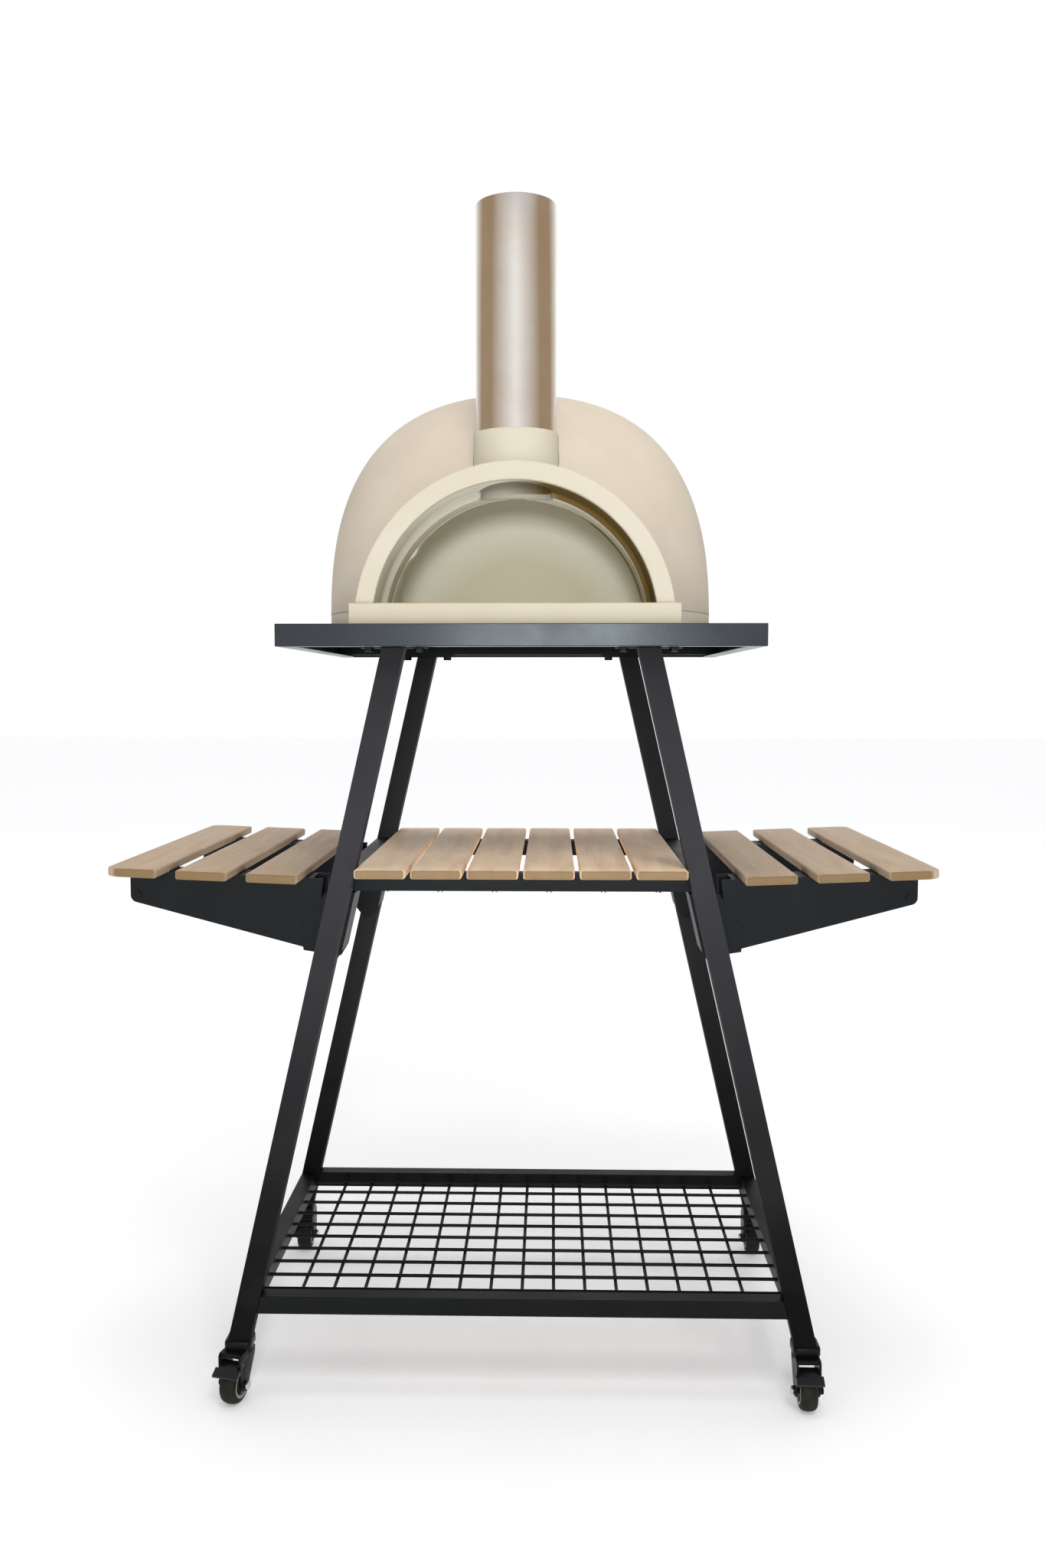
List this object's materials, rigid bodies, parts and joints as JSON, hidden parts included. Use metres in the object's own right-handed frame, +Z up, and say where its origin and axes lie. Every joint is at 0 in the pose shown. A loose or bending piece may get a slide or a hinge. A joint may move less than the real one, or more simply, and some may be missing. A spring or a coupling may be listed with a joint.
{
  "type": "wood fired pizza oven",
  "caption": "Domed wood fired pizza oven with a steel flue on a splay-legged wheeled trolley with a slatted shelf, a grid shelf and folding side shelves.",
  "frame": {"origin": "on the floor under the middle of the trolley", "axes": "+Z up, -Y towards the side with the oven mouth, +X to the right as seen from the mouth's side"},
  "size_m": [1.1166, 0.5708, 1.645],
  "materials": {
    "cream_render": "matte",
    "arch_cast": "matte",
    "refractory": "matte",
    "firebrick": "matte",
    "fibre_board": "matte",
    "polished_stainless": "polished",
    "charcoal_coat": "satin",
    "black_coat": "satin",
    "zinc_steel": "satin",
    "timber": "oiled",
    "caster_black": "semi-gloss",
    "tyre_rubber": "matte"
  },
  "bodies": {
    "trolley": {"base_slab": "cream_render", "hearth_insulation": "fibre_board", "hearth_tiles": "firebrick", "inner_dome": "refractory", "insulation_blanket": "fibre_board", "outer_dome": "cream_render", "front_arch": "arch_cast", "sill": "arch_cast", "flue_seal": "fibre_board", "flue_pipe": "polished_stainless", "deck_tray": "charcoal_coat", "deck_frame": "black_coat", "deck_bolts": "zinc_steel", "leg_front_left": "charcoal_coat", "leg_front_right": "charcoal_coat", "leg_rear_left": "charcoal_coat", "leg_rear_right": "charcoal_coat", "mid_rail_left": "charcoal_coat", "mid_rail_right": "charcoal_coat", "mid_rail_front": "charcoal_coat", "mid_rail_rear": "charcoal_coat", "mid_slats": "timber", "mid_screws": "zinc_steel", "lower_rail_front": "charcoal_coat", "lower_rail_rear": "charcoal_coat", "lower_rail_left": "charcoal_coat", "lower_rail_right": "charcoal_coat", "shelf_grid": "black_coat", "channel_front_left": "black_coat", "channel_front_right": "black_coat", "channel_rear_left": "black_coat", "channel_rear_right": "black_coat", "hinge_pins": "zinc_steel", "latch_pins": "zinc_steel", "bracket_bolts": "zinc_steel", "caster_stems": "zinc_steel"},
    "wing_left": {"arm_front_left": "black_coat", "arm_rear_left": "black_coat", "wing_slats_left": "timber", "wing_screws_left": "zinc_steel"},
    "wing_right": {"arm_front_right": "black_coat", "arm_rear_right": "black_coat", "wing_slats_right": "timber", "wing_screws_right": "zinc_steel"},
    "latch_lever_front_left": {"latch_front_left": "zinc_steel"},
    "latch_lever_front_right": {"latch_front_right": "zinc_steel"},
    "latch_lever_rear_left": {"latch_rear_left": "zinc_steel"},
    "latch_lever_rear_right": {"latch_rear_right": "zinc_steel"},
    "caster_front_left": {"fork_front_left": "caster_black"},
    "caster_wheel_front_left": {"wheel_front_left": "tyre_rubber"},
    "caster_front_right": {"fork_front_right": "caster_black"},
    "caster_wheel_front_right": {"wheel_front_right": "tyre_rubber"},
    "caster_rear_left": {"fork_rear_left": "caster_black"},
    "caster_wheel_rear_left": {"wheel_rear_left": "tyre_rubber"},
    "caster_rear_right": {"fork_rear_right": "caster_black"},
    "caster_wheel_rear_right": {"wheel_rear_right": "tyre_rubber"},
    "brake_pedal_front_left": {"brake_front_left": "caster_black"},
    "brake_pedal_front_right": {"brake_front_right": "caster_black"}
  },
  "joints": [
    {"name": "wing_fold_left", "type": "hinge", "parent": "trolley", "child": "wing_left", "pos_m": [-0.285, 0, 0.658], "axis": [0, -1, 0], "range_deg": [0, 90]},
    {"name": "wing_fold_right", "type": "hinge", "parent": "trolley", "child": "wing_right", "pos_m": [0.285, 0, 0.658], "axis": [0, 1, 0], "range_deg": [0, 90]},
    {"name": "latch_turn_front_left", "type": "hinge", "parent": "wing_left", "child": "latch_lever_front_left", "pos_m": [-0.306, -0.19, 0.691], "axis": [0, 1, 0], "range_deg": [0, 14]},
    {"name": "latch_turn_front_right", "type": "hinge", "parent": "wing_right", "child": "latch_lever_front_right", "pos_m": [0.306, -0.19, 0.691], "axis": [0, -1, 0], "range_deg": [0, 14]},
    {"name": "latch_turn_rear_left", "type": "hinge", "parent": "wing_left", "child": "latch_lever_rear_left", "pos_m": [-0.306, 0.19, 0.691], "axis": [0, 1, 0], "range_deg": [0, 14]},
    {"name": "latch_turn_rear_right", "type": "hinge", "parent": "wing_right", "child": "latch_lever_rear_right", "pos_m": [0.306, 0.19, 0.691], "axis": [0, -1, 0], "range_deg": [0, 14]},
    {"name": "swivel_front_left", "type": "hinge", "parent": "trolley", "child": "caster_front_left", "pos_m": [-0.3961, -0.236, 0.066], "axis": [0, 0, 1], "continuous": true},
    {"name": "wheel_spin_front_left", "type": "hinge", "parent": "caster_front_left", "child": "caster_wheel_front_left", "pos_m": [-0.40076, -0.25339, 0.027], "axis": [0.9659, -0.2588, 0], "continuous": true},
    {"name": "swivel_front_right", "type": "hinge", "parent": "trolley", "child": "caster_front_right", "pos_m": [0.3961, -0.236, 0.066], "axis": [0, 0, 1], "continuous": true},
    {"name": "wheel_spin_front_right", "type": "hinge", "parent": "caster_front_right", "child": "caster_wheel_front_right", "pos_m": [0.3961, -0.254, 0.027], "axis": [1, 0, 0], "continuous": true},
    {"name": "swivel_rear_left", "type": "hinge", "parent": "trolley", "child": "caster_rear_left", "pos_m": [-0.3961, 0.236, 0.066], "axis": [0, 0, 1], "continuous": true},
    {"name": "wheel_spin_rear_left", "type": "hinge", "parent": "caster_rear_left", "child": "caster_wheel_rear_left", "pos_m": [-0.3961, 0.254, 0.027], "axis": [1, 0, 0], "continuous": true},
    {"name": "swivel_rear_right", "type": "hinge", "parent": "trolley", "child": "caster_rear_right", "pos_m": [0.3961, 0.236, 0.066], "axis": [0, 0, 1], "continuous": true},
    {"name": "wheel_spin_rear_right", "type": "hinge", "parent": "caster_rear_right", "child": "caster_wheel_rear_right", "pos_m": [0.3961, 0.254, 0.027], "axis": [1, 0, 0], "continuous": true},
    {"name": "brake_press_front_left", "type": "hinge", "parent": "caster_front_left", "child": "brake_pedal_front_left", "pos_m": [-0.40232, -0.25918, 0.058], "axis": [0.9659, -0.2588, 0], "range_deg": [0, 8]},
    {"name": "brake_press_front_right", "type": "hinge", "parent": "caster_front_right", "child": "brake_pedal_front_right", "pos_m": [0.3961, -0.26, 0.058], "axis": [1, 0, 0], "range_deg": [0, 8]}
  ]
}
